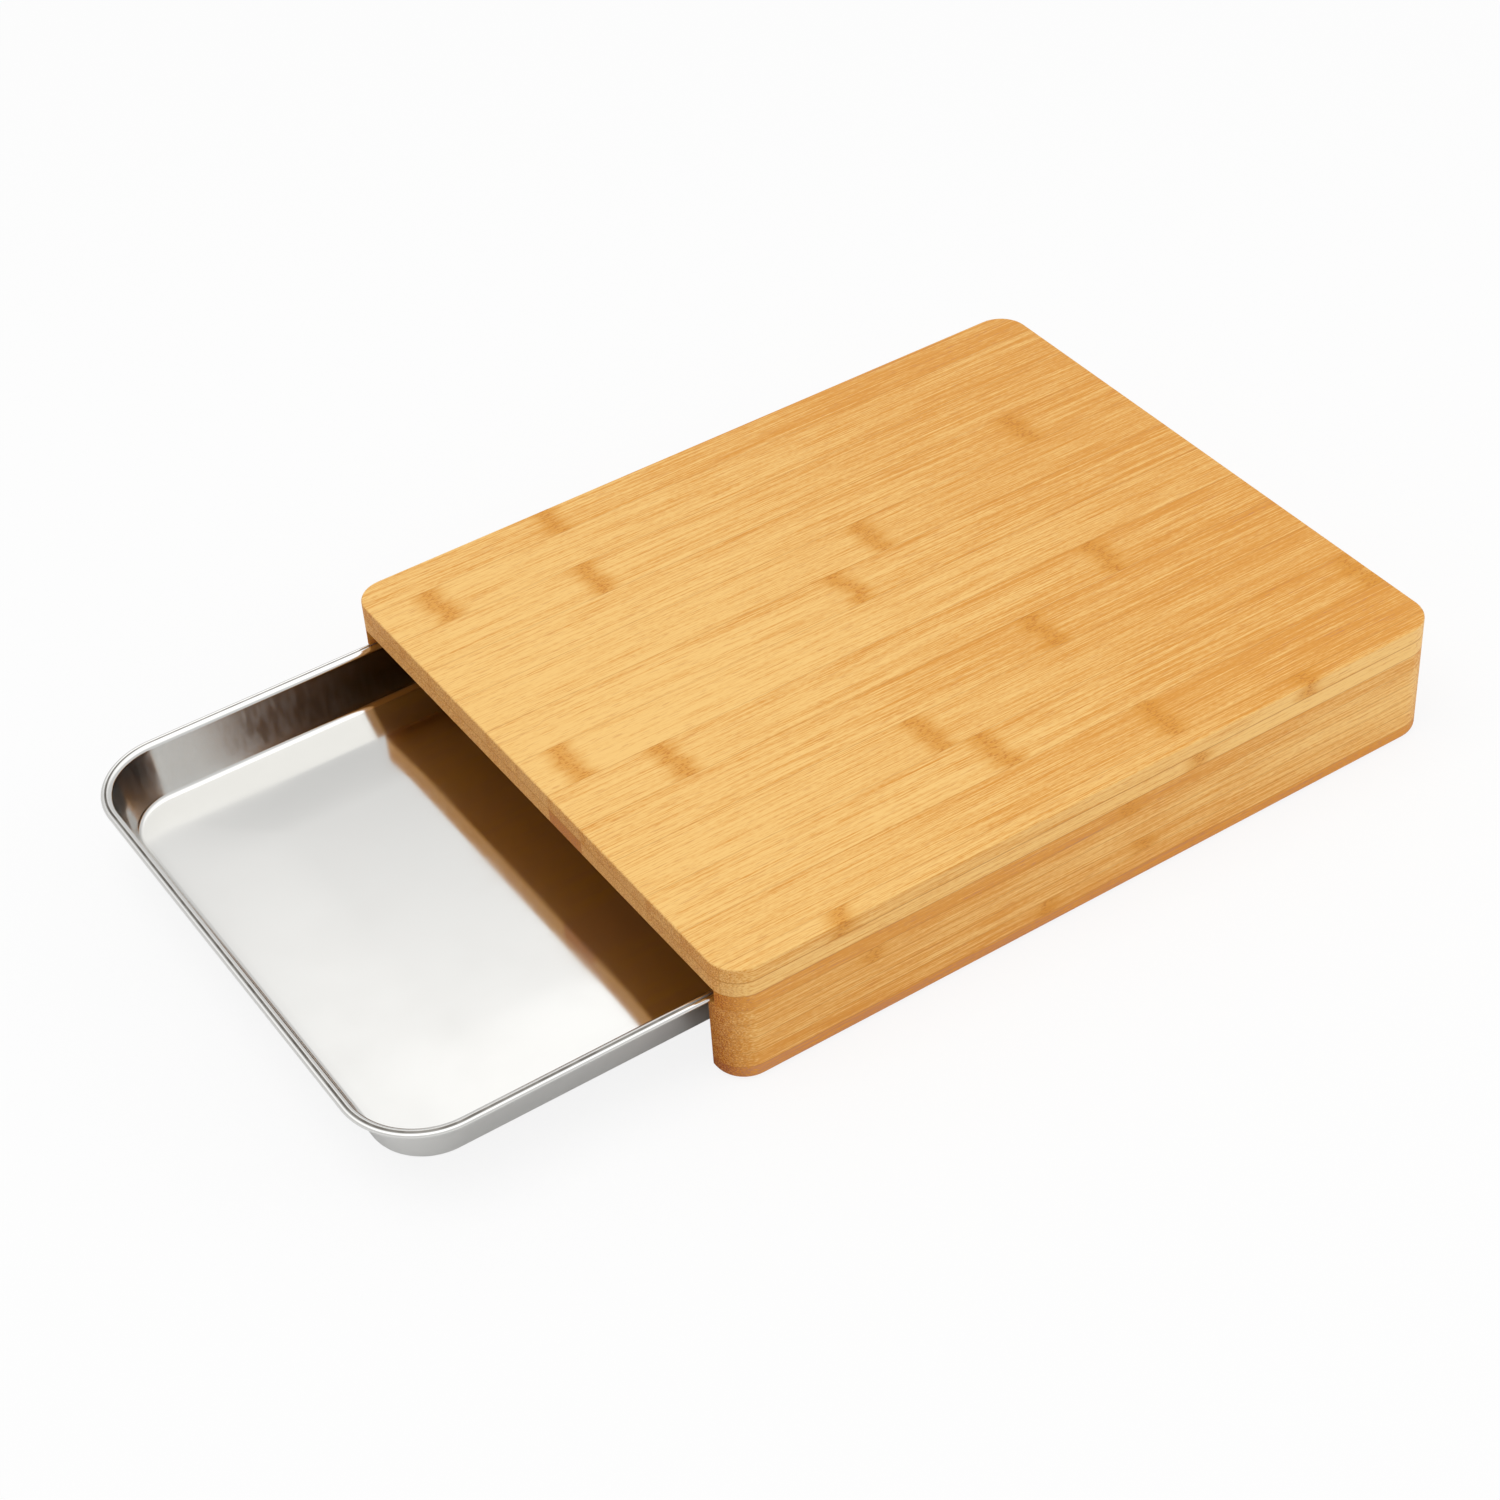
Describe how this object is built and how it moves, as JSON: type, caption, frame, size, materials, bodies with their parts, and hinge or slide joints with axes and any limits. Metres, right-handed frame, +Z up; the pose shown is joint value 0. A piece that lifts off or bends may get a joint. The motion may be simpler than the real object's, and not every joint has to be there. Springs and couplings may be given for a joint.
{
  "type": "cutting board with drawer tray",
  "caption": "Rectangular bamboo cutting board with rounded corners on side and back rails, and a shallow steel tray that slides out from under one end.",
  "frame": {"origin": "middle of the flat cutting face, on its surface", "axes": "+Z up out of the cutting face, X along the grain and the tray's travel with the open end at -X, +Y to the far side rail"},
  "size_m": [0.5027, 0.3, 0.0606],
  "materials": {
    "face_bamboo": "oiled satin",
    "under_bamboo": "oiled satin",
    "rail_bamboo": "oiled satin",
    "steel": "polished"
  },
  "bodies": {
    "board": {"cutting_face_strip_01": "face_bamboo", "cutting_face_strip_02": "face_bamboo", "cutting_face_strip_03": "face_bamboo", "cutting_face_strip_04": "face_bamboo", "cutting_face_strip_05": "face_bamboo", "cutting_face_strip_06": "face_bamboo", "cutting_face_strip_07": "face_bamboo", "cutting_face_strip_08": "face_bamboo", "cutting_face_strip_09": "face_bamboo", "cutting_face_strip_10": "face_bamboo", "cutting_face_strip_11": "face_bamboo", "cutting_face_strip_12": "face_bamboo", "cutting_face_strip_13": "face_bamboo", "under_ply_strip_01": "under_bamboo", "under_ply_strip_02": "under_bamboo", "under_ply_strip_03": "under_bamboo", "under_ply_strip_04": "under_bamboo", "under_ply_strip_05": "under_bamboo", "under_ply_strip_06": "under_bamboo", "under_ply_strip_07": "under_bamboo", "under_ply_strip_08": "under_bamboo", "under_ply_strip_09": "under_bamboo", "under_ply_strip_10": "under_bamboo", "under_ply_strip_11": "under_bamboo", "under_ply_strip_12": "under_bamboo", "under_ply_strip_13": "under_bamboo", "near_rail_strip_1": "rail_bamboo", "near_rail_strip_2": "rail_bamboo", "near_rail_strip_3": "rail_bamboo", "near_rail_strip_4": "rail_bamboo", "near_rail_strip_5": "rail_bamboo", "near_rail_strip_6": "rail_bamboo", "far_rail_strip_1": "rail_bamboo", "far_rail_strip_2": "rail_bamboo", "far_rail_strip_3": "rail_bamboo", "far_rail_strip_4": "rail_bamboo", "far_rail_strip_5": "rail_bamboo", "far_rail_strip_6": "rail_bamboo", "back_rail_strip_1": "rail_bamboo", "back_rail_strip_2": "rail_bamboo", "back_rail_strip_3": "rail_bamboo", "back_rail_strip_4": "rail_bamboo", "back_rail_strip_5": "rail_bamboo", "back_rail_strip_6": "rail_bamboo"},
    "tray": {"steel_tray": "steel"}
  },
  "joints": [
    {"name": "tray_slide", "type": "slide", "parent": "board", "child": "tray", "axis": [-1, 0, 0], "range_m": [-0.1427, 0.225]}
  ]
}
